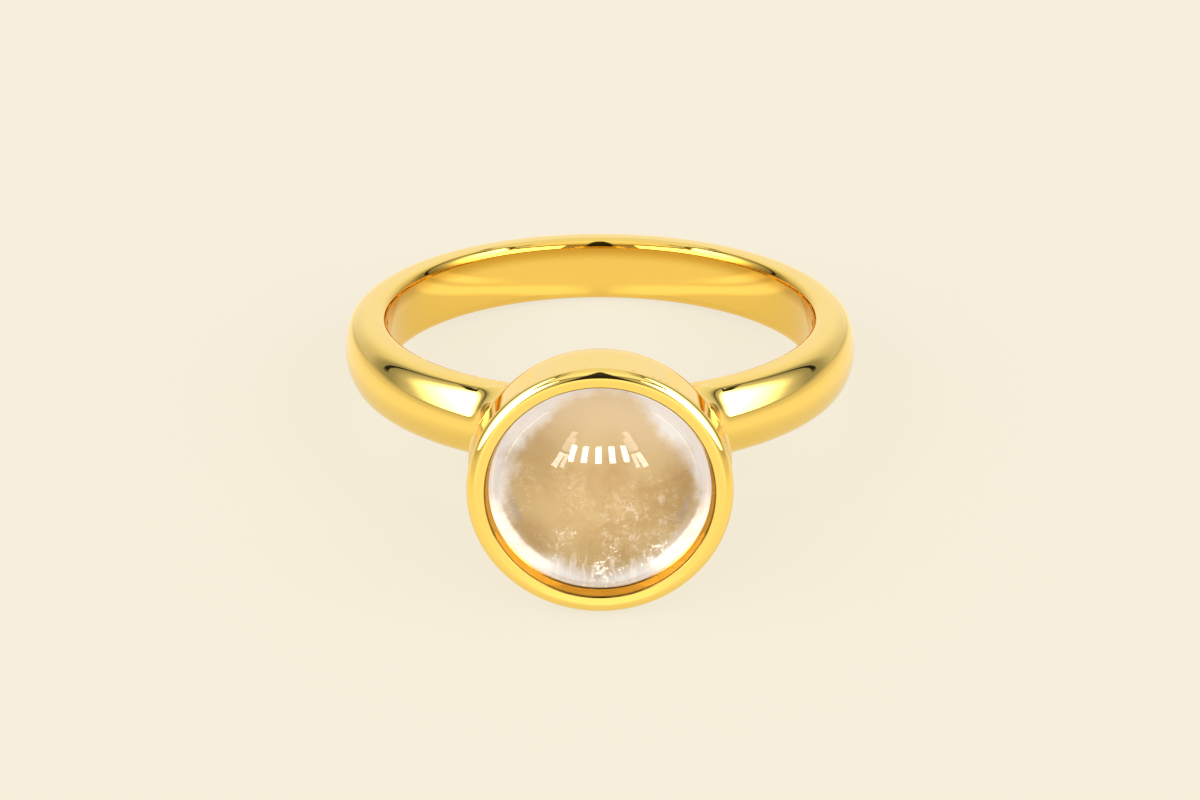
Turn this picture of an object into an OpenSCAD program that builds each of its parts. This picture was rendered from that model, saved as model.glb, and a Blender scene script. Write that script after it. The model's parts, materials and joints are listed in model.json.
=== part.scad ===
// Ring with a domed rock crystal in a plain round cup, lying on its side. All sizes are in millimetres.
// The ring is drawn about its finger hole, with the hole along Z and the stone towards -Y.
// It is then tipped to the pose in which it rests on a flat surface.

/* [Band] */
// Inside diameter of the band, where the finger goes
finger_d = 17; // [15:0.5:20]
// Thickness of the band, from its inner wall to its crown
band_t = 1.7; // [1.6:0.1:2.2]
// Width of the band along the finger
band_w = 2.8; // [2.7:0.05:3.3]
// Radius of the rounded inner edges
inner_edge_r = 0.4; // [0.2:0.05:0.5]
// Radius of the flanks, between the sides and the crown
flank_r = 0.85; // [0.6:0.05:0.9]
// Radius of the crown across the band
crown_r = 2.2; // [1.9:0.1:3]

/* [Cup] */
// Outside diameter of the lip
lip_d = 9; // [8.96:0.02:9.06]
// Diameter of the opening that shows the stone
opening_d = 7.52; // [7.4:0.02:7.6]
// Distance from the middle of the finger hole to the middle of the lip
lip_reach = 14.5; // [14.4:0.02:15]
// Radius of the lip's rounded outer edge
lip_r = 0.3; // [0.25:0.01:0.32]
// Diameter of the lip's inner edge, where the bevel to the stone starts
lip_inner_d = 7.72; // [7.68:0.02:7.8]
// Step from the lip in to the outer wall, which shows as a fine crease
crease = 0.03; // [0.01:0.01:0.05]
// How much the outer wall narrows towards the band
wall_draft = 0.03; // [0:0.01:0.06]
// Distance from the middle of the finger hole to the back of the straight wall
wall_back = 13.04; // [13:0.02:13.2]
// Radius of the round underside, where the wall turns in towards the band
turn_r = 2.4; // [2.2:0.1:2.6]

/* [Neck] */
// Width of the neck that joins the cup to the band's shoulders
neck_w = 8.4; // [7.6:0.1:8.4]
// How far the neck's two faces stand in from the band's sides
neck_relief = 0.1; // [0.1:0.05:0.3]

/* [Stone] */
// Diameter of the stone at its girdle
stone_d = 7.86; // [7.8:0.02:7.9]
// Height of the dome above the girdle
dome_h = 2.8; // [2.4:0.1:3]
// Height of the straight side below the girdle
girdle_side = 0.7; // [0.5:0.05:0.9]
// Distance from the middle of the finger hole to the girdle
girdle_reach = 13.44; // [13.4:0.01:13.5]
// Clearance between the stone and the metal all round
seat_gap = 0.05; // [0.03:0.01:0.06]

/* [Hidden] */
$fn = 96;

gold = [0.87, 0.65, 0.25];
crystal = [0.90, 0.86, 0.80, 0.55];
arc_step = 7.5;

finger_r = finger_d / 2;
half_w = band_w / 2;
crown_axis = finger_r + band_t - crown_r;
crown_edge = asin((half_w - flank_r) / (crown_r - flank_r));
flank_axis = crown_axis + (crown_r - flank_r) * cos(crown_edge);

lip_axis = lip_d / 2 - lip_r;
// Where the lip's rounded outer edge runs on into its nearly flat face, 90 being straight ahead
lip_end = 100;
lip_turn = acos((lip_r - crease) / lip_r);
wall_r = lip_axis + lip_r - crease;
turn_axis = wall_r - wall_draft - turn_r;

girdle_r = stone_d / 2;
base_reach = girdle_reach - girdle_side;
base_bevel = 0.15;
seat_r = girdle_r + seat_gap;
seat_floor = base_reach - seat_gap;
grip_angle = acos(opening_d / 2 / seat_r);
opening_edge = [opening_d / 2, girdle_reach + (dome_h + seat_gap) * sin(grip_angle)];

// The lip's crisp inner edge is a tight arc, from the flat face round to the bevel
edge_r = 0.06;
edge_axis = lip_inner_d / 2 + edge_r;
edge_reach = lip_reach + (lip_r - edge_r + cos(lip_end) * (lip_axis - edge_axis)) / sin(lip_end);
bevel = opening_edge - [edge_axis, edge_reach];
bevel_turn = atan2(bevel[1], bevel[0]) + 360 - acos(edge_r / norm(bevel));

neck_half = half_w - neck_relief;
// How far the neck reaches into the band and into the cup's floor
neck_bite = 0.3;
neck_start = finger_r + neck_bite;
neck_end = seat_floor - neck_bite;

// The ring rests on the round underside of its cup and on the flank at the back of its band.
// A place is [forward distance, height], and a tilt lifts it by forward * sin + height * cos.
front_foot = [wall_back, -turn_axis];
back_foot = [-flank_axis, flank_r - half_w];
feet = front_foot - back_foot;
rest_tilt = asin((turn_r - flank_r) / norm(feet)) - atan2(feet[1], feet[0]);
rest_lift = flank_r - back_foot[0] * sin(rest_tilt) - back_foot[1] * cos(rest_tilt);
front_extent = girdle_reach * cos(rest_tilt) + norm([dome_h * cos(rest_tilt), girdle_r * sin(rest_tilt)]);
back_extent = crown_axis * cos(rest_tilt) + crown_r;
rest_shift = (front_extent - back_extent) / 2;

function arc(centre, r, from, to) =
    let (steps = ceil(abs(to - from) / arc_step))
    [for (i = [0:steps]) let (a = from + (to - from) * i / steps) centre + r * [cos(a), sin(a)]];

function dome(r, h, from, to) =
    let (steps = ceil(abs(to - from) / arc_step))
    [for (i = [0:steps]) let (a = from + (to - from) * i / steps) [r * cos(a), girdle_reach + h * sin(a)]];

function mirrored(points) = [for (i = [len(points) - 1:-1:0]) [points[i][0], -points[i][1]]];

// Tips the ring from its own frame to its resting pose, centred over the origin
module rest_pose() {
    translate([0, rest_shift, rest_lift])
        rotate([-rest_tilt, 0, 0])
            children();
}

// Turns an outline of [radius, reach] about the stone's axis, which points forward
module turned(outline) {
    rotate([90, 0, 0])
        rotate_extrude()
            polygon(outline);
}

// The band: a flat inner wall with rounded edges, and a domed outside
module band() {
    upper = concat(
        arc([finger_r + inner_edge_r, half_w - inner_edge_r], inner_edge_r, 180, 90),
        arc([flank_axis, half_w - flank_r], flank_r, 90, crown_edge + arc_step),
        arc([crown_axis, 0], crown_r, crown_edge, arc_step / 2)
    );
    rotate_extrude()
        polygon(concat(upper, mirrored(upper)));
}

// The cup: a round underside, a straight wall, a lip with a crisp inner edge, a bevel and the stone's seat
module cup() {
    outside = concat(
        [[0, wall_back - turn_r]],
        arc([turn_axis, wall_back], turn_r, -90, 0),
        arc([lip_axis, lip_reach], lip_r, -lip_turn, lip_end),
        arc([edge_axis, edge_reach], edge_r, lip_end, bevel_turn)
    );
    seat = concat(dome(seat_r, dome_h + seat_gap, grip_angle, 0), [[seat_r, seat_floor], [0, seat_floor]]);
    turned(concat(outside, seat));
}

// The neck: a bar with rounded edges that carries the cup on the band's shoulders
module neck() {
    corner_x = neck_w / 2 - flank_r;
    corner_z = neck_half - flank_r;
    corners = [[corner_x, corner_z], [-corner_x, corner_z], [-corner_x, -corner_z], [corner_x, -corner_z]];
    outline = [for (i = [0:3]) each arc(corners[i], flank_r, i * 90, (i + 1) * 90)];
    translate([0, -neck_start, 0])
        rotate([90, 0, 0])
            linear_extrude(neck_end - neck_start)
                polygon(outline);
}

module band_and_setting() {
    color(gold)
        rest_pose()
            union() {
                band();
                cup();
                neck();
            }
}

// The stone: a domed cabochon with a flat back, held under the lip
module rock_crystal() {
    back = [[0, base_reach], [girdle_r - base_bevel, base_reach], [girdle_r, base_reach + base_bevel]];
    color(crystal)
        rest_pose()
            turned(concat(back, dome(girdle_r, dome_h, 0, 90)));
}

band_and_setting();
rock_crystal();
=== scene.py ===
"""A gold ring with a domed rock crystal in a plain round cup, lying on a pale surface in soft studio light.

The ring is shaped in its own frame, in millimetres: the finger hole runs along Z and the stone points to -Y.
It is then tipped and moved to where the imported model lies.
"""

import json
import math

import bpy
import numpy as np
from mathutils import Matrix, Vector


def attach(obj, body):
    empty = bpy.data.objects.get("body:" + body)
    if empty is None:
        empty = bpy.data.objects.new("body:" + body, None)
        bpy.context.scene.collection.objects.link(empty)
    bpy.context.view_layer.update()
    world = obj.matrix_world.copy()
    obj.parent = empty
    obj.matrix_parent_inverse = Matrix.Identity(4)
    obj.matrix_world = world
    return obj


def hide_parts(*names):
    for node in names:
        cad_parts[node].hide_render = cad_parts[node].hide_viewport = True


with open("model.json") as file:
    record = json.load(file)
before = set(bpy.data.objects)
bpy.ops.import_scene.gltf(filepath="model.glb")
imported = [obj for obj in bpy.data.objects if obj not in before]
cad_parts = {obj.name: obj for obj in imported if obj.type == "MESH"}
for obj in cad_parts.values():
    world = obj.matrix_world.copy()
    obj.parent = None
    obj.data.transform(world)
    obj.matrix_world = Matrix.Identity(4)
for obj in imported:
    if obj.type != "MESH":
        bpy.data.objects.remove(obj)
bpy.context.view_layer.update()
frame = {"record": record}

MM = 0.001

# Where the ring lies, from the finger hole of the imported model
finger_bore = next(m for m in frame["record"]["mounts"] if m["name"] == "finger_bore")
TILT = math.atan2(finger_bore["axis"][1], finger_bore["axis"][2])
RING_TO_WORLD = (
    Matrix.Translation(finger_bore["pos_m"]) @ Matrix.Rotation(-TILT, 4, "X") @ Matrix.Scale(MM, 4)
)

# Band, in millimetres
FINGER_R = finger_bore["dims"]["r_mm"]
BAND_T = 1.7
BAND_HALF_W = 1.4
INNER_EDGE_R = 0.4
FLANK_R = 0.85
CROWN_R = 2.2
CROWN_AXIS = FINGER_R + BAND_T - CROWN_R
CROWN_EDGE = math.asin((BAND_HALF_W - FLANK_R) / (CROWN_R - FLANK_R))
FLANK_AXIS = CROWN_AXIS + (CROWN_R - FLANK_R) * math.cos(CROWN_EDGE)

# Cup, in millimetres. A reach is a distance from the middle of the finger hole towards the stone
LIP_OUTER_R = 4.5
OPENING_R = 3.76
LIP_R = 0.3
LIP_REACH = 14.5
LIP_INNER_R = 3.86
EDGE_R = 0.06
CREASE = 0.03
WALL_DRAFT = 0.03
WALL_BACK = 13.04
TURN_R = 2.4
LIP_AXIS = LIP_OUTER_R - LIP_R
WALL_R = LIP_AXIS + LIP_R - CREASE
TURN_AXIS = WALL_R - WALL_DRAFT - TURN_R

# Angles on the lip's rounded outer edge, from the crease to the flat face, 90 being straight ahead
LIP_START = -math.degrees(math.acos((LIP_R - CREASE) / LIP_R))
LIP_END = 100

# Neck, in millimetres
NECK_HALF_W = 4.25
NECK_HALF_T = BAND_HALF_W - 0.02
NECK_START = FINGER_R + 0.3
NECK_END = 12.15

# Stone and its seat, in millimetres
GIRDLE_R = 3.93
GIRDLE_REACH = 13.44
DOME_H = 2.8
GIRDLE_SIDE = 0.7
BASE_BEVEL = 0.15
SEAT_GAP = 0.05
SEAT_R = GIRDLE_R + SEAT_GAP
SEAT_FLOOR = GIRDLE_REACH - GIRDLE_SIDE - SEAT_GAP

# The lip and seat are one turned piece, set into a round hole in the rest of the metal. Out of sight are
# the hole's radius and floor, the end of the cup under the lip, and two corners of the turned piece
LINER_R = 4.15
LINER_FLOOR = SEAT_FLOOR - 0.15
CUP_END = LIP_REACH - 0.08
HIDDEN_WALL = [WALL_R - 0.12, LIP_REACH - 0.5]
HIDDEN_BASE = [LINER_R + 0.15, LINER_FLOOR - 0.1]

# Solder fillets where band, neck and cup run into each other
NECK_FILLET = 0.45
CUP_FILLET = 1.0

# How far past the start of its rounded edge the finger hole goes on widening
HOLE_FLARE = 0.8

# Size of the metal mesh's quads, in millimetres
CELL = 0.11

# A point of an outline that is this close to the stone's axis, in millimetres, is taken to be on it
ON_AXIS = 1e-9

# Divisions of the turned pieces: round the axis, along the dome and the seat, and in degrees of an arc
TURNS = 240
DOME_POINTS = 64
SEAT_POINTS = 8
LIP_STEP = 4
EDGE_STEP = 5

# Gold: its colours, its roughness where it is polished and where it is worn, and the depth of its marks
GOLD = (0.96, 0.675, 0.165, 1)
PALE_GOLD = (0.98, 0.705, 0.195, 1)
# Painted shade on the finger hole's wall, deepest near its upper edge
WALL_PAINTED_SHADE = (0.96, 0.63, 0.12, 1)
WALL_EDGE_PAINTED_SHADE = (0.6, 0.29, 0.012, 1)
# Painted shade inside the lip, and a painted shadow line at its inner edge
LIP_PAINTED_SHADE = (1.0, 0.65, 0.14, 1)
LIP_EDGE_SHADOW = (0.1, 0.05, 0.01, 1)
POLISHED = 0.012
WORN = 0.05
MARK_DEPTH = 0.0003

# Rock crystal: its refraction, how uneven its dome and its ground back are, and the colours on that back,
# painted light and shade among them
QUARTZ_IOR = 1.544
DOME_DEPTH = 0.0015
GROUND_DEPTH = 0.02
HONEY = (0.39, 0.238, 0.068, 1)
LIGHT_HONEY = (0.51, 0.352, 0.145, 1)
# Painted light on the top of the back
PAINTED_LIGHT_HONEY = (0.68, 0.51, 0.28, 1)
RING_HONEY = (0.6, 0.43, 0.215, 1)
MIDDLE_HONEY = (0.5, 0.32, 0.14, 1)
# The margin's white is partly painted reflection of bright surroundings
MARGIN_WHITE = (0.82, 0.79, 0.78, 1)
MARGIN_SHADE = (0.3, 0.25, 0.22, 1)
VEIL = (0.86, 0.78, 0.66, 1)
MOTE = (0.97, 0.93, 0.86, 1)
FIBRE = (0.93, 0.89, 0.82, 1)
VEIN = (0.9, 0.8, 0.64, 1)
SPECK = (0.2, 0.12, 0.05, 1)
CRYSTAL_GLOW = (1.0, 0.96, 0.89, 1)

# Marks on the ground back: radii from the stone's axis, places across and up it in millimetres, angles
# from its foot in degrees, and how strongly they glow with painted light for the light that the stone
# gathers
RING_R = 0.9
MARGIN_START_R = 2.05
MARGIN_FULL_R = 2.62
SHADE_R = 2.36
SHADE_ANGLE = 66
CRESCENT_R = 2.6
CRESCENT_ANGLE = 50
VEIL_X = 1.2
VEIL_Z = -1.4
MARGIN_GLOW = 0.02
TOP_GLOW = 0.06
CRESCENT_GLOW = 0.5
MOTE_GLOW = 0.3

# Floor, in metres, and its glow as the camera sees it. The glow that the ring mirrors leaves out the light
# that the floor scatters back
BACKDROP = (0.939, 0.871, 0.716, 1)
FLOOR_HALF = 1.5
FLOOR_COLOUR = (0.08, 0.074, 0.061, 1)
FLOOR_SEEN = 0.838
FLOOR_SCATTER = 0.107

# Studio, in directions seen from the ring. An azimuth is an angle from straight behind it, to either side,
# and an elevation is an angle above the horizon, both in degrees
PEAK_AZIMUTH = 62
PEAK_ELEVATION = 55
PEAK_CURVE_BEHIND = -0.0089
PEAK_SLOPE_AHEAD = -0.18
SIDE_LINE_AZIMUTH = 74
SIDE_LINE_SLOPE = -0.35
SIDE_LINE_CURVE = -0.011
SOFTBOX_SLANT = 0.78
SOFTBOX_LIGHT = 5.5
FRONT_GAP_LIGHT = 0.55
LINE_LIGHT = 0.01

# Windows that the stone mirrors, at a distance in metres: upright panes, and slanted ones on either side. A
# slanted pane is given as foot and head, each a turn from the front and an elevation in degrees, then its
# width in degrees and its share of the light
WINDOW_AWAY = 0.6
PANE_TURNS = (-22, -10.5, 1.3, 13.2, 24.3)
PANE_FOOT = 21.5
PANE_HEAD = 36
PANE_WIDTH = 4.6
PANE_LIGHT = 18
SIDE_PANE_LIGHT = 10
SIDE_PANES = (
    ((37.4, 14.8), (33.4, 27.5), 5.0, 0.9),
    ((33.4, 29.5), (30.4, 48), 5.0, 0.35),
    ((30.6, 15.5), (28.6, 27), 3.4, 0.7),
    ((28.2, 29), (26.4, 42), 3.0, 0.3),
)

# The depth of a ray counts the surfaces that it has met, and stays below this for the first two
NEAR_DEPTH = 2.5

# Camera: its place in the ring's own frame in millimetres, how far it looks down in degrees, its lens and
# sensor in millimetres, and the nearest and farthest that it sees in metres
CAMERA_PLACE = (0, -75.84, 28.90)
CAMERA_PITCH = 22.61
CAMERA_LENS = 60.36
SENSOR_WIDTH = 36
CLIP_START = 0.001
CLIP_END = 10


def band_distance(x, y, z):
    """Signed distance to the band, whose section has a flat inner wall and a domed outside."""
    radius = np.hypot(x, y)
    side = np.abs(z)
    inner = np.stack([FINGER_R + INNER_EDGE_R - radius, side - BAND_HALF_W + INNER_EDGE_R], -1)
    inner_edge = (
        np.linalg.norm(np.maximum(inner, 0), axis=-1) + np.minimum(inner.max(axis=-1), 0) - INNER_EDGE_R
    )
    flat_side = side - BAND_HALF_W
    flank_x = radius - FLANK_AXIS
    flank_z = side - BAND_HALF_W + FLANK_R
    flank = np.hypot(flank_x, flank_z) - FLANK_R
    crown = np.hypot(radius - CROWN_AXIS, side) - CROWN_R
    outside = np.where(np.arctan2(flank_z, flank_x) > CROWN_EDGE, flank, crown)
    return np.where(
        radius < FINGER_R + INNER_EDGE_R, inner_edge, np.where(radius < FLANK_AXIS, flat_side, outside)
    )


def cup_distance(x, y, z):
    """Signed distance to the cup without its lip: a round underside and a nearly straight wall."""
    radius = np.hypot(x, z)
    reach = -y
    lean = WALL_DRAFT / (LIP_REACH - WALL_BACK)
    wall = radius - (WALL_R - WALL_DRAFT) - lean * (reach - WALL_BACK)
    turn = np.hypot(np.maximum(radius - TURN_AXIS, 0), reach - WALL_BACK) - TURN_R
    below = np.where(radius < TURN_AXIS, WALL_BACK - TURN_R - reach, turn)
    body = np.where(reach < WALL_BACK, below, wall)
    return np.maximum(body, reach - CUP_END)


def neck_distance(x, y, z):
    """Signed distance to the neck, a bar with rounded edges between the band and the cup."""
    reach = -y
    across = np.abs(x) - NECK_HALF_W + FLANK_R
    along = np.abs(z) - NECK_HALF_T + FLANK_R
    rounded = np.hypot(np.maximum(across, 0), np.maximum(along, 0))
    bar = rounded + np.minimum(np.maximum(across, along), 0) - FLANK_R
    return np.maximum(bar, np.maximum(NECK_START - reach, reach - NECK_END))


def smooth_union(a, b, width):
    """Joins two distances with a fillet that starts a width away from the corner."""
    overlap = np.maximum(width - np.abs(a - b), 0) / width
    return np.minimum(a, b) - overlap * overlap * width / 4


def metal_distance(points):
    """Signed distance to the soldered metal, with the space for the stone and its seat left out."""
    x, y, z = points[..., 0], points[..., 1], points[..., 2]
    shoulders = smooth_union(band_distance(x, y, z), neck_distance(x, y, z), NECK_FILLET)
    body = smooth_union(shoulders, cup_distance(x, y, z), CUP_FILLET)
    past_edge = np.clip(np.abs(z) - BAND_HALF_W + INNER_EDGE_R, 0, HOLE_FLARE)
    finger_hole = FINGER_R + past_edge * past_edge / (2 * INNER_EDGE_R) - np.hypot(x, y)
    body = np.maximum(body, finger_hole)
    seat = np.maximum(np.hypot(x, z) - LINER_R, LINER_FLOOR + y)
    return np.maximum(body, -seat)


def gradient(distance, points, step=0.002):
    """Unit direction in which the distance grows fastest, which is the surface normal."""
    slopes = []
    for axis in range(3):
        shift = np.zeros(3)
        shift[axis] = step
        slopes.append(distance(points + shift) - distance(points - shift))
    slopes = np.stack(slopes, -1)
    return slopes / np.linalg.norm(slopes, axis=-1, keepdims=True)


def surface_net(distance, low, high, cell):
    """Points and quads of the surface where the distance is nought, one point for each cell it crosses."""
    axes = [np.arange(a, b + cell, cell) for a, b in zip(low, high)]
    field = distance(np.stack(np.meshgrid(*axes, indexing="ij"), -1))
    inside = field < 0
    size = np.array(field.shape) - 1
    corners = [(i, j, k) for i in (0, 1) for j in (0, 1) for k in (0, 1)]

    def at(corner):
        return tuple(slice(c, c + n) for c, n in zip(corner, size))

    filled = sum(inside[at(c)].astype(np.int8) for c in corners)
    crossed = (filled > 0) & (filled < len(corners))
    cells = np.argwhere(crossed)
    number = np.full(size, -1)
    number[crossed] = np.arange(len(cells))

    total = np.zeros((len(cells), 3))
    hits = np.zeros(len(cells))
    for axis in range(3):
        for start in corners:
            if start[axis]:
                continue
            end = np.array(start)
            end[axis] = 1
            first = field[tuple((cells + start).T)]
            last = field[tuple((cells + end).T)]
            cut = (first < 0) != (last < 0)
            place = np.tile(np.array(start, float), (len(cells), 1))
            place[:, axis] = first / np.where(cut, first - last, 1)
            total += place * cut[:, None]
            hits += cut
    points = np.array(low) + (cells + total / hits[:, None]) * cell

    quads = []
    for axis in range(3):
        u, v = (axis + 1) % 3, (axis + 2) % 3
        first = np.take(inside, range(size[axis]), axis)
        last = np.take(inside, range(1, size[axis] + 1), axis)
        edges = np.argwhere(first != last)
        around = []
        for du, dv in ((0, 0), (-1, 0), (-1, -1), (0, -1)):
            place = edges.copy()
            place[:, u] += du
            place[:, v] += dv
            around.append(number[tuple(place.T)])
        quad = np.stack(around, -1)
        outwards = first[tuple(edges.T)]
        quad[~outwards] = quad[~outwards][:, ::-1]
        quads.append(quad)
    return points, np.concatenate(quads)


def settle(distance, points, rounds=4):
    """Moves points onto the surface along its normals."""
    for _ in range(rounds):
        points = points - distance(points)[:, None] * gradient(distance, points)
    return points


def mesh_object(name, points, faces, corner_normals):
    """Makes a smooth piece from ring-frame points, with the normals given for each corner of each face."""
    mesh = bpy.data.meshes.new(name)
    mesh.from_pydata(points.tolist(), [], faces)
    mesh.transform(RING_TO_WORLD)
    mesh.shade_smooth()
    turn = np.array(RING_TO_WORLD.to_3x3().normalized())
    mesh.normals_split_custom_set((corner_normals @ turn.T).tolist())
    piece = bpy.data.objects.new(name, mesh)
    bpy.context.scene.collection.objects.link(piece)
    return piece


def arc(centre, r, start, end, step):
    """Points and outward normals along an arc, angles in degrees, in [radius, reach] coordinates."""
    count = max(2, math.ceil(abs(end - start) / step) + 1)
    angles = np.radians(np.linspace(start, end, count))
    normals = np.stack([np.cos(angles), np.sin(angles)], -1)
    return np.array(centre) + r * normals, normals


def line(start, end):
    """Points and normals of a straight stretch, with its outside to the right of its direction."""
    along = (np.array(end) - np.array(start)) / math.dist(start, end)
    return np.array([start, end], float), np.tile([along[1], -along[0]], (2, 1))


def dome_outline(r, h, start, end, count):
    """Points and normals along the dome's ellipse, angles in degrees."""
    angles = np.radians(np.linspace(start, end, count))
    points = np.stack([r * np.cos(angles), GIRDLE_REACH + h * np.sin(angles)], -1)
    normals = np.stack([np.cos(angles) / r, np.sin(angles) / h], -1)
    return points, normals / np.linalg.norm(normals, axis=-1, keepdims=True)


def revolve(stretches):
    """Points, faces, corner normals and stretch numbers of stretches turned about the stone's axis.

    The stretches run on from each other with the outside on their right, and start and end on the axis.
    """
    angles = np.arange(TURNS) * math.tau / TURNS
    cos, sin = np.cos(angles), np.sin(angles)

    def around(pair):
        radius, reach = pair
        return np.stack([radius * cos, np.full(TURNS, -reach), radius * sin], -1)

    outline = [stretches[0][0][0]]
    for places, _ in stretches:
        outline.extend(places[1:])
    rings = [None if abs(p[0]) < ON_AXIS else around(p) for p in outline]
    points, first = [], []
    for place, ring in zip(outline, rings):
        first.append(sum(len(p) for p in points))
        points.append(np.array([[0, -place[1], 0]]) if ring is None else ring)

    def corners_on(ring_no, fan, columns):
        """Point numbers and normals of a face's corners on one ring, or of its one corner on the axis."""
        if rings[ring_no] is None:
            return [(first[ring_no], fan[columns[0]])]
        return [(first[ring_no] + column, fan[column]) for column in columns]

    faces, corner_normals, numbers = [], [], []
    ring_no = 0
    for number, (places, normals) in enumerate(stretches):
        fans = [around(n) for n in normals]
        for i in range(len(places) - 1):
            for j in range(TURNS):
                k = (j + 1) % TURNS
                corners = corners_on(ring_no, fans[i], (j, k))
                corners += corners_on(ring_no + 1, fans[i + 1], (k, j))
                faces.append([c[0] for c in corners])
                corner_normals.extend(c[1] for c in corners)
                numbers.append(number)
            ring_no += 1
    return np.concatenate(points), faces, np.array(corner_normals), numbers


def make_metal():
    """The soldered band, neck and cup body."""
    margin = 3 * CELL
    low = np.array([-FINGER_R - BAND_T, -CUP_END, -WALL_R]) - margin
    high = np.array([FINGER_R + BAND_T, FINGER_R + BAND_T, WALL_R]) + margin
    points, quads = surface_net(metal_distance, low, high, CELL)
    points = settle(metal_distance, points)
    normals = gradient(metal_distance, points)
    return mesh_object("metal", points, quads.tolist(), normals[quads].reshape(-1, 3))


def make_rim():
    """The lip that is rolled over the stone, with the seat inside it."""
    lip = arc([LIP_AXIS, LIP_REACH], LIP_R, LIP_START, LIP_END, LIP_STEP)
    grip_angle = math.degrees(math.acos(OPENING_R / SEAT_R))
    seat_points, seat_normals = dome_outline(SEAT_R, DOME_H + SEAT_GAP, grip_angle, 0, SEAT_POINTS)

    # The crisp inner edge is a tight arc, from the flat face round to the bevel
    edge_axis = LIP_INNER_R + EDGE_R
    slope = math.radians(LIP_END)
    edge_reach = LIP_REACH + (LIP_R - EDGE_R + math.cos(slope) * (LIP_AXIS - edge_axis)) / math.sin(slope)
    bevel = seat_points[0] - np.array([edge_axis, edge_reach])
    bevel_turn = math.degrees(math.atan2(bevel[1], bevel[0])) + 360
    bevel_turn -= math.degrees(math.acos(EDGE_R / math.hypot(*bevel)))
    edge = arc([edge_axis, edge_reach], EDGE_R, LIP_END, bevel_turn, EDGE_STEP)

    stretches = [
        line([0, HIDDEN_BASE[1]], HIDDEN_BASE),
        line(HIDDEN_BASE, HIDDEN_WALL),
        line(HIDDEN_WALL, lip[0][0]),
        lip,
        line(lip[0][-1], edge[0][0]),
        edge,
        line(edge[0][-1], seat_points[0]),
        (seat_points, -seat_normals),
        line([SEAT_R, GIRDLE_REACH], [SEAT_R, SEAT_FLOOR]),
        line([SEAT_R, SEAT_FLOOR], [0, SEAT_FLOOR]),
    ]
    points, faces, normals, _ = revolve(stretches)
    return mesh_object("rim", points, faces, normals)


def make_stone():
    """The domed stone, its polished dome apart from its ground side and back."""
    base = GIRDLE_REACH - GIRDLE_SIDE
    stretches = [
        line([0, base], [GIRDLE_R - BASE_BEVEL, base]),
        line([GIRDLE_R - BASE_BEVEL, base], [GIRDLE_R, base + BASE_BEVEL]),
        line([GIRDLE_R, base + BASE_BEVEL], [GIRDLE_R, GIRDLE_REACH]),
        dome_outline(GIRDLE_R, DOME_H, 0, 90, DOME_POINTS),
    ]
    points, faces, normals, numbers = revolve(stretches)
    stone = mesh_object("crystal", points, faces, normals)
    dome = len(stretches) - 1
    stone.data.polygons.foreach_set("material_index", [0 if n == dome else 1 for n in numbers])
    return stone


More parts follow.
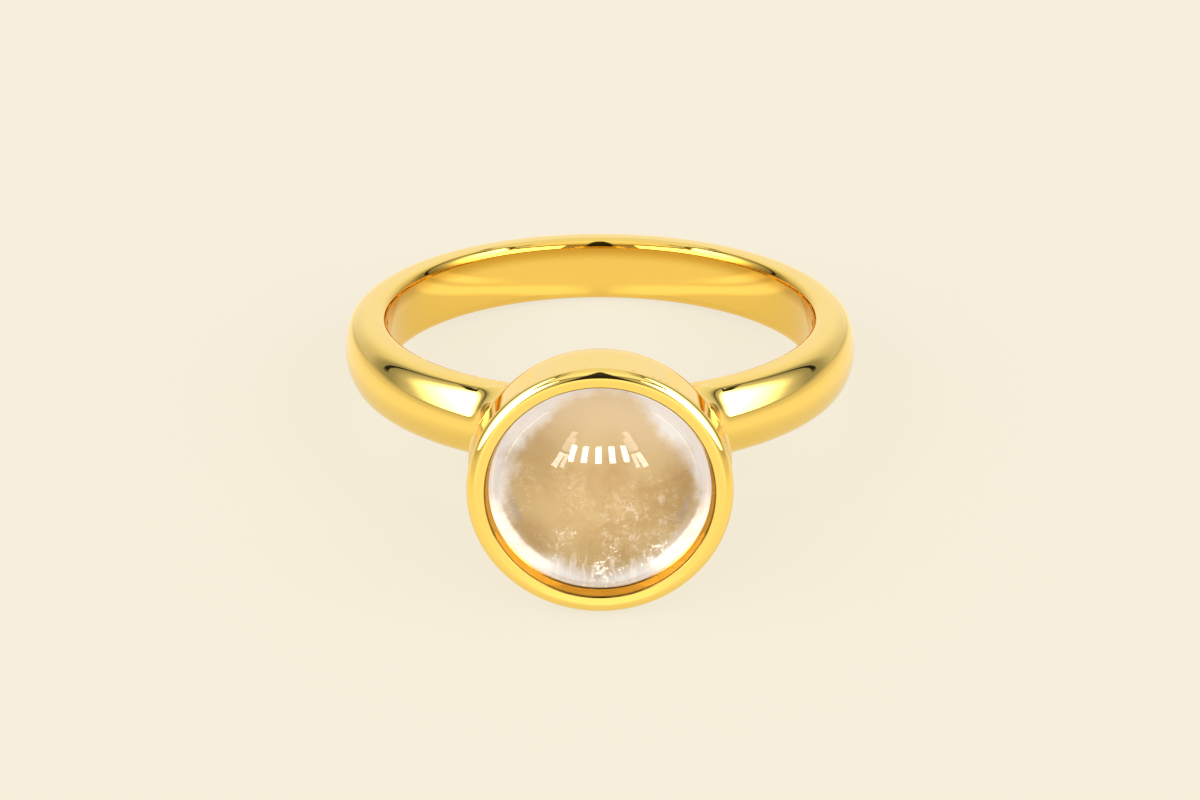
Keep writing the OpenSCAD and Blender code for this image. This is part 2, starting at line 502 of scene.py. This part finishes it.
class Formula:
    """Numbers and colours worked out by the nodes of one shader tree."""

    def __init__(self, tree):
        self.tree = tree

    def node(self, kind, inputs=(), **settings):
        """A new node with its settings made and its inputs filled in or linked."""
        node = self.tree.nodes.new(kind)
        for key, value in settings.items():
            setattr(node, key, value)
        for socket, value in inputs:
            self.fill(node.inputs[socket], value)
        return node

    def fill(self, socket, value):
        """Gives a socket its value, which is a constant or comes from another node."""
        if isinstance(value, bpy.types.NodeSocket):
            self.tree.links.new(value, socket)
        else:
            socket.default_value = value

    def math(self, operation, *values):
        """The result of one operation on numbers."""
        return self.node("ShaderNodeMath", list(enumerate(values)), operation=operation).outputs[0]

    def product(self, first, *others):
        """All the numbers multiplied together."""
        for other in others:
            first = self.math("MULTIPLY", first, other)
        return first

    def add(self, base, value, times):
        """A number with a multiple of another added to it."""
        return self.math("MULTIPLY_ADD", value, times, base)

    def sway(self, base, noise, width):
        """A number moved either way by a noise, by up to half the width."""
        return self.add(base, self.math("SUBTRACT", noise, 0.5), width)

    def off(self, value, middle):
        """How far a number is from the middle, either way."""
        return self.math("ABSOLUTE", self.math("SUBTRACT", value, middle))

    def hypot(self, first, second):
        """The long side of a right triangle with these two short sides."""
        squares = self.math("MULTIPLY_ADD", first, first, self.math("MULTIPLY", second, second))
        return self.math("SQRT", squares)

    def degrees(self, radians):
        """An angle in degrees instead of radians."""
        return self.math("MULTIPLY", radians, 180 / math.pi)

    def angle(self, across, along):
        """The angle of a direction from along towards across, in degrees."""
        return self.degrees(self.math("ARCTAN2", across, along))

    def step(self, value, start, end, low=0.0, high=1.0):
        """A smooth step from low, where the value is at the start, to high at the end."""
        inputs = [("Value", value), ("From Min", start), ("From Max", end)]
        inputs += [("To Min", low), ("To Max", high)]
        return self.node("ShaderNodeMapRange", inputs, interpolation_type="SMOOTHSTEP").outputs["Result"]

    def blend(self, share, low, high):
        """Mixes two numbers by a share from 0 to 1."""
        inputs = [("Factor", share), ("A", low), ("B", high)]
        return self.node("ShaderNodeMix", inputs, data_type="FLOAT").outputs["Result"]

    def tint(self, share, low, high):
        """Mixes two colours by a share from 0 to 1."""
        node = self.node("ShaderNodeMix", data_type="RGBA")
        sockets = {socket.identifier: socket for socket in node.inputs}
        for name, value in (("Factor_Float", share), ("A_Color", low), ("B_Color", high)):
            self.fill(sockets[name], value)
        return next(socket for socket in node.outputs if socket.identifier == "Result_Color")

    def coordinates(self, place):
        """The x, y and z of a place."""
        return self.node("ShaderNodeSeparateXYZ", [("Vector", place)]).outputs[:]

    def ring_place(self):
        """The place on a piece in the ring's own frame, in millimetres."""
        place = self.node("ShaderNodeTexCoord").outputs["Object"]
        inputs = [
            ("Vector", place),
            ("Location", finger_bore["pos_m"]),
            ("Rotation", (-TILT, 0, 0)),
            ("Scale", (MM, MM, MM)),
        ]
        return self.node("ShaderNodeMapping", inputs, vector_type="TEXTURE").outputs["Vector"]

    def noise(self, place, scale, detail=2.0, roughness=0.5, distortion=0.0):
        """Cloudy noise from 0 to 1, at a scale in features per millimetre."""
        inputs = [
            ("Vector", place),
            ("Scale", scale),
            ("Detail", detail),
            ("Roughness", roughness),
            ("Distortion", distortion),
        ]
        return self.node("ShaderNodeTexNoise", inputs).outputs[0]

    def bump(self, height, depth):
        """A surface normal that is tilted by a height from 0 to 1 over a depth in millimetres."""
        inputs = [("Height", height), ("Strength", 1.0), ("Distance", depth * MM)]
        return self.node("ShaderNodeBump", inputs).outputs["Normal"]

    def first_mirror_ray(self):
        """1 for a ray off a perfectly sharp mirror that lies near the start of its path, or else 0."""
        path = self.node("ShaderNodeLightPath").outputs
        near = self.math("LESS_THAN", path["Ray Depth"], NEAR_DEPTH)
        return self.product(near, path["Is Singular Ray"], path["Is Reflection Ray"])


def principled(name, **values):
    """A new material with its shader's sockets set, and those sockets."""
    material = bpy.data.materials.new(name)
    material.use_nodes = True
    shader = material.node_tree.nodes["Principled BSDF"]
    for key, value in values.items():
        shader.inputs[key.replace("_", " ")].default_value = value
    return material, shader.inputs


def paint_finger_wall_shade(f, place, colour):
    """The gold's colour with painted shade on the finger hole's wall, which deepens it to amber, most of all
    near its upper edge.
    """
    x, y, z = f.coordinates(place)
    radius = f.hypot(y, x)
    wall = f.product(f.step(radius, FINGER_R + 0.3, FINGER_R + 0.05), 0.75)
    colour = f.tint(wall, colour, WALL_PAINTED_SHADE)
    # Painted shade along the upper edge of the wall only
    edge = f.product(f.step(radius, FINGER_R + 0.13, FINGER_R + 0.04), f.step(z, 0.4, 0.95), 0.7)
    return f.tint(edge, colour, WALL_EDGE_PAINTED_SHADE)


def paint_lip_shade(f, place, colour):
    """The gold's colour with painted shade inside the lip, which deepens it to amber, and a painted shadow
    line at its inner edge.
    """
    x, y, z = f.coordinates(place)
    radius = f.hypot(x, z)
    reach = f.math("MULTIPLY", y, -1)
    above_girdle = f.step(reach, GIRDLE_REACH, GIRDLE_REACH + 0.2)
    inside = f.product(above_girdle, f.step(radius, LIP_INNER_R + 0.05, LIP_INNER_R + 0.02))
    colour = f.tint(inside, colour, LIP_PAINTED_SHADE)
    # A painted shadow line in the crease at the lip's inner edge
    at_edge = f.step(f.off(radius, LIP_INNER_R + 0.02), 0.035, 0.015)
    on_face = f.step(reach, LIP_REACH + 0.12, LIP_REACH + 0.17)
    return f.tint(f.product(at_edge, on_face, 0.8), colour, LIP_EDGE_SHADOW)


def gold_material():
    """Polished yellow gold, with hair-fine polishing marks, a slight change of colour and gloss, and painted
    shade on the finger hole's wall and inside the lip.
    """
    material, sockets = principled("polished_gold", Metallic=1.0)
    f = Formula(material.node_tree)
    place = f.ring_place()
    cloud = f.noise(place, 0.35, detail=3.0)
    colour = f.tint(cloud, GOLD, PALE_GOLD)
    colour = paint_finger_wall_shade(f, place, colour)
    colour = paint_lip_shade(f, place, colour)
    f.fill(sockets["Base Color"], colour)
    wear = f.noise(place, 1.6, detail=4.0, roughness=0.6)
    f.fill(sockets["Roughness"], f.step(wear, 0.35, 0.75, POLISHED, WORN))
    marks = f.noise(place, 9.0, detail=3.0, roughness=0.7, distortion=0.6)
    f.fill(sockets["Normal"], f.bump(marks, MARK_DEPTH))
    return material


def dome_material():
    """The stone's polished dome: clear, and only slightly uneven."""
    material, sockets = principled(
        "clear_crystal",
        Base_Color=(1, 1, 1, 1),
        Roughness=0.0,
        IOR=QUARTZ_IOR,
        Transmission_Weight=1.0,
    )
    f = Formula(material.node_tree)
    waves = f.noise(f.ring_place(), 0.5, detail=1.0)
    f.fill(sockets["Normal"], f.bump(waves, DOME_DEPTH))
    return material


class GroundBack(Formula):
    """The marks on the stone's ground back, most of them as shares from 0 to 1 of their colour.

    They are laid out by x across the stone, z up it, and the radius from its axis, in millimetres.
    """

    def __init__(self, tree):
        super().__init__(tree)
        self.place = self.ring_place()
        self.x, _, self.z = self.coordinates(self.place)
        self.side = self.math("ABSOLUTE", self.x)
        self.radius = self.hypot(self.x, self.z)
        self.from_foot = self.angle(self.side, self.math("MULTIPLY", self.z, -1))
        # Painted light: a share that grows towards the top of the back, which lightens it and makes it glow
        self.painted_top_light = self.step(self.add(self.z, self.x, 0.15), 0.0, 2.2)
        self.cloud = self.noise(self.place, 0.55, detail=5.0, roughness=0.6, distortion=0.4)
        self.smoke = self.noise(self.place, 1.7, detail=6.0, roughness=0.65, distortion=0.5)
        self.clumps = self.noise(self.place, 1.3, detail=2.0)
        self.grit = self.noise(self.place, 7.0, detail=9.0, roughness=0.85, distortion=0.25)

    def honey(self):
        """The colour of the middle: clouded honey, lightened near the top by painted light, and lighter in a
        soft ring.
        """
        colour = self.tint(self.step(self.cloud, 0.3, 0.7), HONEY, LIGHT_HONEY)
        colour = self.tint(self.painted_top_light, colour, PAINTED_LIGHT_HONEY)
        ring = self.step(self.off(self.radius, RING_R), 0.6, 0.1)
        ring = self.product(ring, self.step(self.smoke, 0.3, 0.7), 0.4)
        colour = self.tint(ring, colour, RING_HONEY)
        middle = self.product(self.step(self.radius, 1.0, 0.2), 0.18)
        return self.tint(middle, colour, MIDDLE_HONEY)

    def margin(self):
        """The white margin, outside a cloudy line that is wider below and narrower at the upper sides:
        partly frosted quartz, and partly painted reflection of the bright surroundings at the stone's edge.
        """
        line_radius = self.sway(self.radius, self.cloud, 0.9)
        line_radius = self.add(line_radius, self.step(self.z, 0.5, -1.0), -0.34)
        line_radius = self.sway(line_radius, self.smoke, 0.5)
        upper_sides = self.product(self.step(self.z, 0.2, 1.6), self.step(self.side, 0.6, 1.8))
        line_radius = self.add(line_radius, upper_sides, 0.28)
        return self.step(line_radius, MARGIN_START_R, MARGIN_FULL_R)

    def veil(self):
        """A pale, scratchy veil low on the right."""
        scratches = self.noise(self.place, 4.0, detail=9.0, roughness=0.8, distortion=0.2)
        from_middle = self.hypot(self.off(self.x, VEIL_X), self.off(self.z, VEIL_Z))
        return self.product(self.step(scratches, 0.5, 0.62), self.step(from_middle, 1.9, 0.5), 0.35)

    def motes(self):
        """Bright motes in clumps, more of them towards the foot, which glow with painted glints."""
        grit = self.add(self.grit, self.step(self.z, -0.8, -2.3), 0.075)
        grit = self.sway(grit, self.clumps, 0.35)
        return self.product(self.step(grit, 0.665, 0.68), self.step(self.z, 0.3, -1.4))

    def fibres(self):
        """Short upright fibres at the foot, which glow a little with painted light."""
        inputs = [(0, self.place), (1, (1.0, 1.0, 0.22))]
        stretched = self.node("ShaderNodeVectorMath", inputs, operation="MULTIPLY").outputs[0]
        streaks = self.noise(stretched, 6.0, detail=3.0, roughness=0.6, distortion=0.3)
        at_foot = self.product(self.step(self.z, -1.9, -2.4), self.step(self.side, 1.7, 1.2))
        return self.product(self.step(streaks, 0.5, 0.62), at_foot, 0.3)

    def veins(self):
        """Fine pale cracks, in patches."""
        cracks = self.noise(self.place, 2.6, detail=5.0, roughness=0.7, distortion=0.6)
        patches = self.product(self.step(self.clumps, 0.45, 0.6), self.step(self.z, 1.2, -0.6))
        return self.product(self.step(self.off(cracks, 0.5), 0.012, 0.003), patches, 0.4)

    def specks(self):
        """Dark specks between the clumps of motes."""
        patches = self.product(self.step(self.z, 0.6, -0.4), self.step(self.clumps, 0.52, 0.42))
        return self.product(self.step(self.grit, 0.365, 0.335), patches, 0.8)

    def shade(self):
        """A short shaded arc inside the margin, on either side."""
        sides = self.step(self.off(self.from_foot, SHADE_ANGLE), 14, 4)
        return self.product(self.step(self.off(self.radius, SHADE_R), 0.14, 0.03), sides, 0.45)

    def crescents(self):
        """A crescent of gathered light at the lower edge of the margin, on either side of the foot."""
        line_radius = self.sway(self.radius, self.smoke, 0.12)
        sides = self.step(self.off(self.from_foot, CRESCENT_ANGLE), 30, 14)
        return self.product(sides, self.step(line_radius, CRESCENT_R, CRESCENT_R + 0.08))


def ground_material():
    """The stone's ground back and side, which the dome magnifies: honey brown inside a white margin, with
    painted light and shade.
    """
    material, sockets = principled(
        "ground_crystal", Roughness=0.6, Specular_IOR_Level=0.2, Emission_Color=CRYSTAL_GLOW
    )
    back = GroundBack(material.node_tree)
    margin = back.margin()
    motes = back.motes()
    fibres = back.fibres()
    layers = (
        (margin, MARGIN_WHITE),
        (back.veil(), VEIL),
        (motes, MOTE),
        (fibres, FIBRE),
        (back.veins(), VEIN),
        (back.specks(), SPECK),
        (back.shade(), MARGIN_SHADE),
    )
    colour = back.honey()
    for share, layer_colour in layers:
        colour = back.tint(share, colour, layer_colour)
    back.fill(sockets["Base Color"], colour)

    # Painted light: the margin, the top, the crescents, the motes and the fibres glow, though none of them
    # is a lamp
    glow = back.product(margin, MARGIN_GLOW)
    glow = back.add(glow, back.painted_top_light, TOP_GLOW)
    glow = back.add(glow, back.crescents(), CRESCENT_GLOW)
    glow = back.add(glow, back.math("MAXIMUM", motes, back.product(fibres, 0.5)), MOTE_GLOW)
    back.fill(sockets["Emission Strength"], glow)
    back.fill(sockets["Normal"], back.bump(back.smoke, GROUND_DEPTH))
    return material


def floor_material():
    """A pale, self-lit surface. It looks even to the camera, and the ring mirrors it brighter and darker,
    with painted light and painted shade.
    """
    material, sockets = principled(
        "floor",
        Base_Color=FLOOR_COLOUR,
        Roughness=1.0,
        Specular_IOR_Level=0.0,
        Emission_Color=BACKDROP,
    )
    f = Formula(material.node_tree)
    place = f.node("ShaderNodeTexCoord").outputs["Object"]
    scaled = [(0, place), ("Scale", 1 / MM)]
    place = f.node("ShaderNodeVectorMath", scaled, operation="SCALE").outputs["Vector"]
    distance = f.node("ShaderNodeVectorMath", [(0, place)], operation="LENGTH").outputs["Value"]
    x, y, _ = f.coordinates(place)
    side = f.math("ABSOLUTE", x)

    # Painted pool of light: it dims with distance on either side, stays bright behind the ring and brightens
    # in front of it
    azimuth = f.angle(side, y)
    far = f.product(f.step(distance, 20, 45, 1.0, 0.76), f.step(distance, 45, 120, 1.0, 0.7))
    far = f.blend(f.step(azimuth, 28, 45), 0.98, far)
    far = f.blend(f.step(azimuth, 150, 170), far, f.step(distance, 20, 40, 1.0, 1.3))
    glow = f.product(f.step(distance, 10, 17, 0.88, 1.08), far)

    # Inside the finger hole it has painted shade towards the wall, with a painted bright patch of light on
    # either side of the back
    hole_y = f.math("SUBTRACT", y, finger_bore["pos_m"][1] / MM)
    from_hole = f.hypot(hole_y, side)
    hole_azimuth = f.angle(side, hole_y)
    patches = f.product(f.step(f.off(hole_azimuth, 9), 9, 3), f.step(from_hole, 3.5, 5.0))
    inside = f.add(f.step(from_hole, 3.5, 8.0, 1.0, 0.84), patches, 0.32)
    glow = f.blend(f.step(from_hole, 7.0, 8.5), inside, glow)

    seen = f.node("ShaderNodeLightPath").outputs["Is Camera Ray"]
    glow = f.blend(seen, f.math("SUBTRACT", glow, FLOOR_SCATTER), FLOOR_SEEN)
    f.fill(sockets["Emission Strength"], glow)
    return material


def make_floor():
    """A wide square floor at the height that the ring rests on."""
    corners = [(x * FLOOR_HALF, y * FLOOR_HALF, 0) for x, y in ((-1, -1), (1, -1), (1, 1), (-1, 1))]
    mesh = bpy.data.meshes.new("floor")
    mesh.from_pydata(corners, [], [(0, 1, 2, 3)])
    mesh.materials.append(floor_material())
    floor = bpy.data.objects.new("floor", mesh)
    bpy.context.scene.collection.objects.link(floor)
    return floor


def wall_top(f, azimuth):
    """The elevation where the studio's wall ends at an azimuth: a peak, with a hump ahead of it."""
    past_peak = f.math("SUBTRACT", azimuth, PEAK_AZIMUTH)
    behind = f.math("MINIMUM", past_peak, 0)
    ahead = f.math("MAXIMUM", past_peak, 0)
    top = f.add(PEAK_ELEVATION, f.math("MULTIPLY", behind, behind), PEAK_CURVE_BEHIND)
    top = f.add(top, ahead, PEAK_SLOPE_AHEAD)
    hump = f.product(f.step(azimuth, 60, 74, 0.0, 9.0), f.step(azimuth, 112, 96))
    return f.math("ADD", top, hump)


def studio_light(f, azimuth, elevation):
    """How bright the studio is in a direction, as a share of plain white."""
    line_azimuth = f.add(SIDE_LINE_AZIMUTH, f.math("MULTIPLY", elevation, elevation), SIDE_LINE_CURVE)
    line_azimuth = f.add(line_azimuth, elevation, SIDE_LINE_SLOPE)
    off_line = f.off(azimuth, line_azimuth)
    under_top = f.math("SUBTRACT", wall_top(f, azimuth), elevation)

    # Pale walls, dimmer round the side line, and a ceiling over them, with a dim gap in front
    wall = f.product(f.step(azimuth, 10, 54, 1.0, 0.67), f.step(off_line, 20, 3, 1.0, 0.5))
    ceiling = f.step(azimuth, 100, 125, 0.93, 1.15)
    room = f.blend(f.step(under_top, -8, -9.5), wall, ceiling)
    front_gap = f.product(f.step(azimuth, 158, 161), f.step(under_top, -1, 1))
    room = f.blend(front_gap, room, FRONT_GAP_LIGHT)

    # A large softbox on either side, which fades in along a slant and ends at the front gap
    slant = f.add(azimuth, elevation, SOFTBOX_SLANT)
    fade = f.step(slant, 92, 134, 0.0, SOFTBOX_LIGHT)
    softbox = f.product(fade, f.step(under_top, 0, 0.8), f.step(azimuth, 159, 157))
    total = f.math("ADD", room, softbox)

    # Dark lines: up the side, along the wall's top and above it, and a strip up the very front
    side_line = f.product(f.step(off_line, 2.8, 1.4), f.step(under_top, -3, -1), f.step(elevation, 4, 16))
    top_line = f.product(f.step(f.off(under_top, -1.6), 2.2, 1.2), f.step(azimuth, 30, 40))
    upper_line = f.product(f.step(f.off(under_top, -8.5), 1.4, 0.6), 0.6)
    strip = f.product(f.step(azimuth, 170, 173), f.step(elevation, 84, 80))
    dark = side_line
    for dark_part in (top_line, upper_line, strip):
        dark = f.math("MAXIMUM", dark, dark_part)
    return f.blend(f.math("MULTIPLY", dark, 0.97), total, LINE_LIGHT)


def light_studio():
    """Lights the world: a backdrop for the camera, a plain fade for the stone's polish, else the studio."""
    world = bpy.data.worlds.new("studio")
    bpy.context.scene.world = world
    world.use_nodes = True
    f = Formula(world.node_tree)
    x, y, z = f.coordinates(f.node("ShaderNodeTexCoord").outputs["Generated"])
    azimuth = f.angle(f.math("ABSOLUTE", x), y)
    elevation = f.degrees(f.math("ARCSINE", z))
    seen = f.node("ShaderNodeLightPath").outputs["Is Camera Ray"]
    background = world.node_tree.nodes["Background"].inputs
    f.fill(background["Color"], f.tint(seen, (1, 1, 1, 1), BACKDROP))
    plain = f.step(elevation, 0, 60, 0.9, 0.5)
    studio = f.blend(f.first_mirror_ray(), studio_light(f, azimuth, elevation), plain)
    f.fill(background["Strength"], f.blend(seen, studio, 1.0))


def toward(azimuth, elevation):
    """The direction at an angle from the back, positive to the right, and above the horizon, in degrees."""
    turn, lift = math.radians(azimuth), math.radians(elevation)
    return Vector((math.cos(lift) * math.sin(turn), math.cos(lift) * math.cos(turn), math.sin(lift)))


def window_bar(name, receivers, foot, head, width, brightness):
    """A lit strip of window that only the stone's polish mirrors, from its foot to its head."""
    middle = RING_TO_WORLD @ Vector((0, -GIRDLE_REACH - DOME_H / 2, 0))
    ends = [toward(*foot) * WINDOW_AWAY, toward(*head) * WINDOW_AWAY]
    centre = (ends[0] + ends[1]) / 2
    facing = centre.normalized()
    across = (ends[1] - ends[0]).cross(facing).normalized()
    along = facing.cross(across)
    data = bpy.data.lights.new(name, "AREA")
    data.shape = "RECTANGLE"
    data.size = 2 * WINDOW_AWAY * math.tan(math.radians(width / 2))
    data.size_y = (ends[1] - ends[0]).length
    data.energy = brightness * math.pi * data.size * data.size_y
    data.use_nodes = True
    f = Formula(data.node_tree)
    depth = f.node("ShaderNodeLightPath").outputs["Ray Depth"]
    emission = data.node_tree.nodes["Emission"].inputs
    f.fill(emission["Strength"], f.math("LESS_THAN", depth, NEAR_DEPTH))
    bar = bpy.data.objects.new(name, data)
    turn = Matrix([across, along, facing]).transposed()
    bar.matrix_world = Matrix.Translation(middle + centre) @ turn.to_4x4()
    bar.visible_camera = False
    bar.visible_diffuse = False
    bar.visible_transmission = False
    bar.visible_volume_scatter = False
    bar.light_linking.receiver_collection = receivers
    bpy.context.scene.collection.objects.link(bar)


def light_windows(stone):
    """Five upright panes, and four slanted ones on either side."""
    receivers = bpy.data.collections.new("window_receivers")
    receivers.objects.link(stone)
    for i, turn in enumerate(PANE_TURNS):
        ends = [(180 + turn, elevation) for elevation in (PANE_FOOT, PANE_HEAD)]
        window_bar(f"pane_{i}", receivers, *ends, PANE_WIDTH, PANE_LIGHT)
    for side in (-1, 1):
        for i, (foot, head, width, share) in enumerate(SIDE_PANES):
            ends = [(180 + side * turn, elevation) for turn, elevation in (foot, head)]
            window_bar(f"side_pane_{side}_{i}", receivers, *ends, width, share * SIDE_PANE_LIGHT)


def place_camera():
    """The camera at the photograph's angle to the ring."""
    data = bpy.data.cameras.new("camera")
    data.lens = CAMERA_LENS
    data.sensor_width = SENSOR_WIDTH
    data.clip_start = CLIP_START
    data.clip_end = CLIP_END
    camera = bpy.data.objects.new("camera", data)
    bpy.context.scene.collection.objects.link(camera)
    camera.location = RING_TO_WORLD @ Vector(CAMERA_PLACE)
    camera.rotation_euler = (math.radians(90 - CAMERA_PITCH) - TILT, 0, 0)
    bpy.context.scene.camera = camera


gold = gold_material()
metal = make_metal()
rim = make_rim()
stone = make_stone()
for piece in (metal, rim):
    piece.data.materials.append(gold)
    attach(piece, "root")
    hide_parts("band_and_setting")
stone.data.materials.append(dome_material())
stone.data.materials.append(ground_material())
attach(stone, "root")
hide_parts("rock_crystal")

floor = make_floor()
place_camera()
light_studio()
light_windows(stone)
bpy.context.scene.view_settings.view_transform = "Standard"
